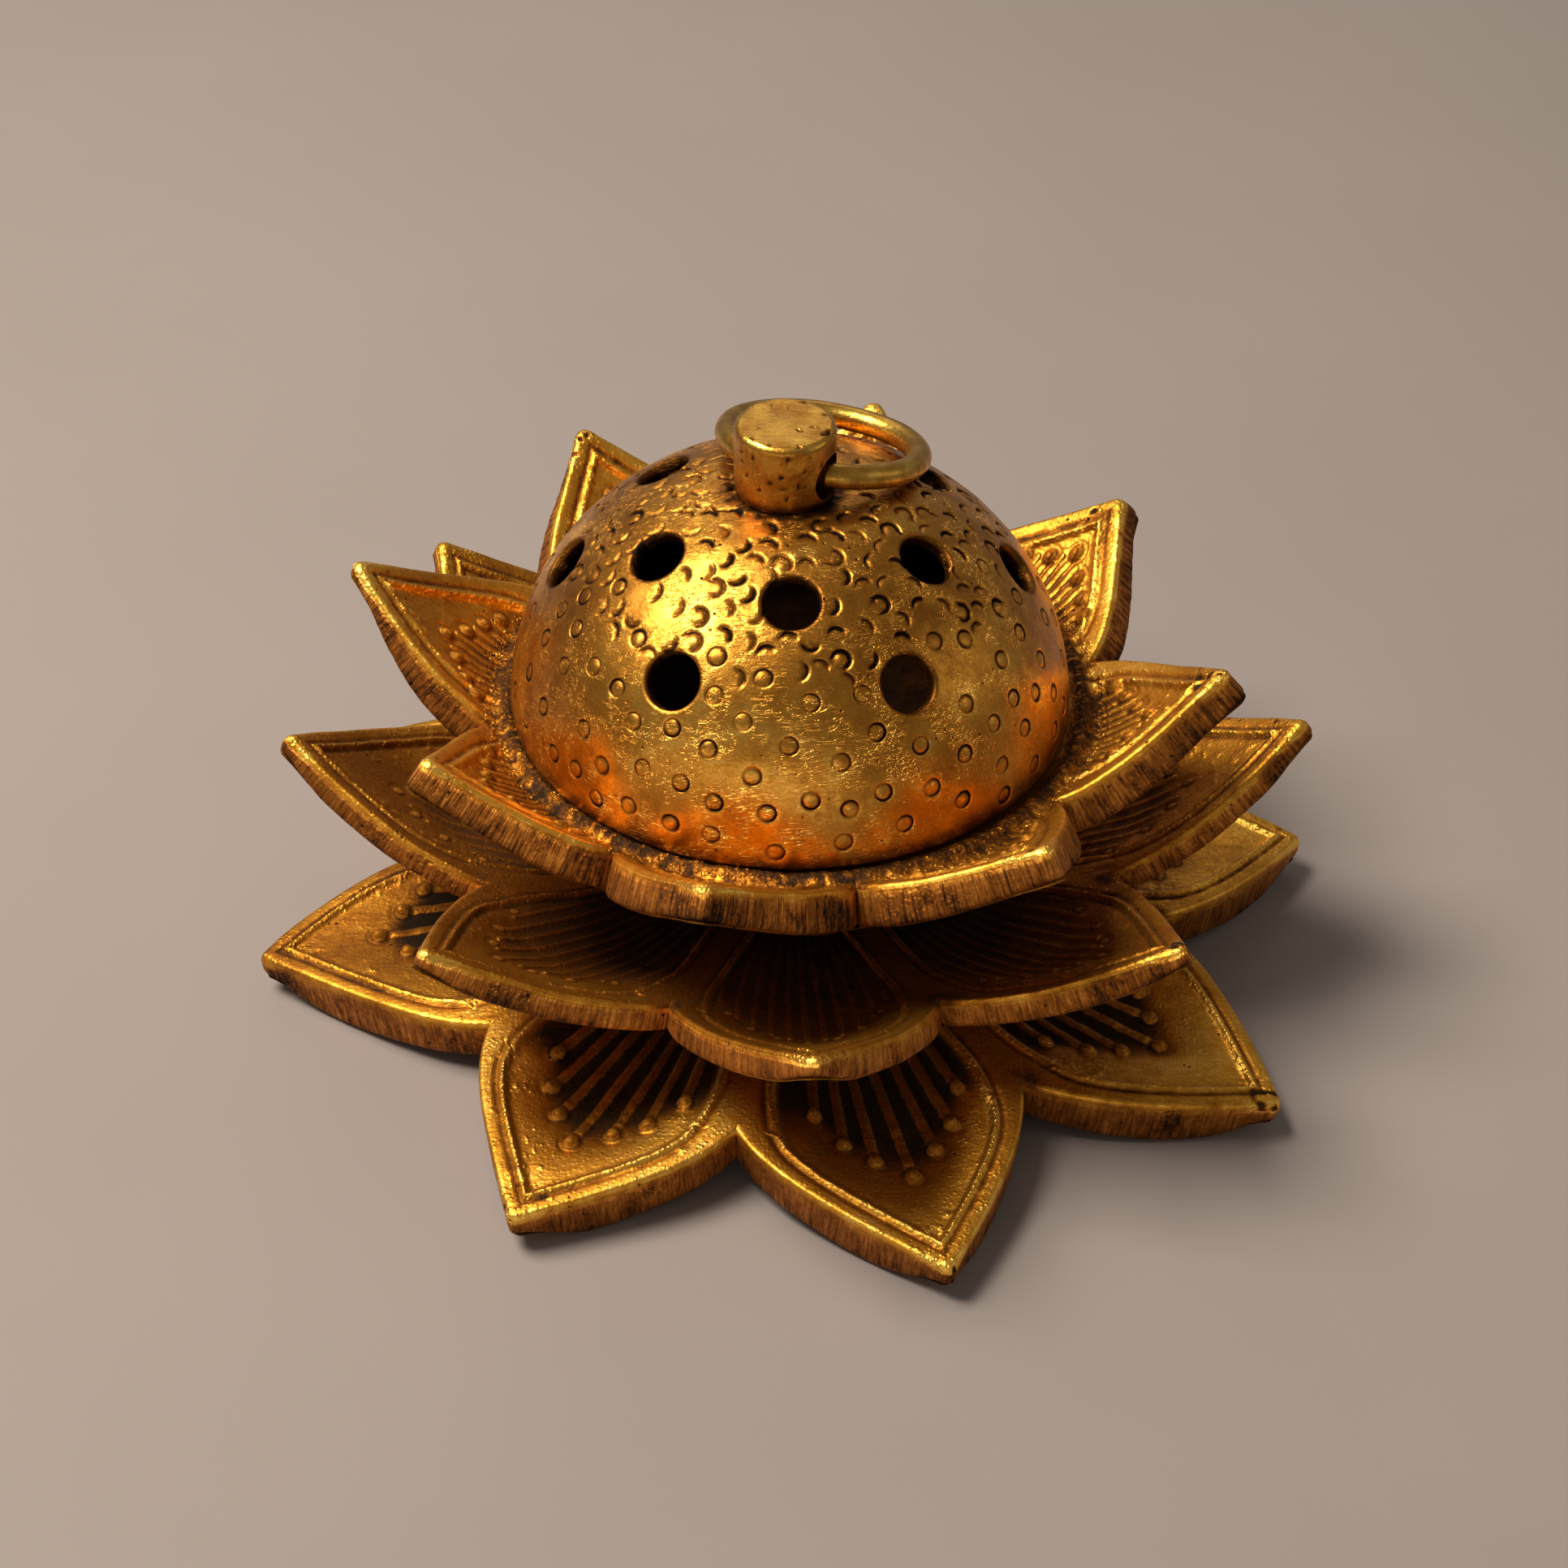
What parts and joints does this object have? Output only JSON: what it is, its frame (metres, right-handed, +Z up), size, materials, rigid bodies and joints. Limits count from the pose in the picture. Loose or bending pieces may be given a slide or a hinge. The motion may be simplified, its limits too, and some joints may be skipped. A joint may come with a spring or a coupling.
{
  "type": "incense burner",
  "caption": "Brass lotus incense burner: three turnable petal tiers on one screw, a bowl for incense, and a pierced dome lid with a knob and a pull ring.",
  "frame": {"origin": "on the axis of the centre screw, at the height of the table the burner stands on; this is also the centre of the footprint", "axes": "+Z up along the screw; +X to the right and -Y towards the viewer who sees the ring lying on the back of the dome"},
  "size_m": [0.1, 0.0968, 0.0579],
  "materials": {
    "cast_brass": "sand-cast antique brass, filed edges, dark patina in the recesses",
    "dome_brass": "polished antique brass with fine scratches and punch marks",
    "knob_brass": "satin brass bar, pitted",
    "wire_brass": "drawn wire, olive gold",
    "turned_brass": "plain turned brass"
  },
  "bodies": {
    "base": {"lower_petals": "cast_brass", "lower_spacer": "turned_brass", "upper_spacer": "turned_brass", "centre_screw": "turned_brass", "screw_washer": "turned_brass", "nut_washer": "turned_brass", "hex_nut": "turned_brass"},
    "middle_tier": {"middle_petals": "cast_brass"},
    "upper_tier": {"upper_petals": "cast_brass"},
    "lid": {"dome_lid": "dome_brass", "lid_knob": "knob_brass", "rivet_washer": "turned_brass"},
    "ring": {"pull_ring": "wire_brass"}
  },
  "joints": [
    {"name": "middle_turn", "type": "hinge", "parent": "base", "child": "middle_tier", "pos_m": [0, 0, 0.0112], "axis": [0, 0, 1], "continuous": true},
    {"name": "upper_turn", "type": "hinge", "parent": "base", "child": "upper_tier", "pos_m": [0, 0, 0.016], "axis": [0, 0, 1], "continuous": true},
    {"name": "lid_lift", "type": "slide", "parent": "upper_tier", "child": "lid", "axis": [0, 0, 1], "range_m": [0, 0.04]},
    {"name": "ring_swing", "type": "hinge", "parent": "lid", "child": "ring", "pos_m": [-0.0012, -0.0004, 0.0537], "axis": [0.8949, -0.4462, 0], "range_deg": [0, 213]}
  ]
}
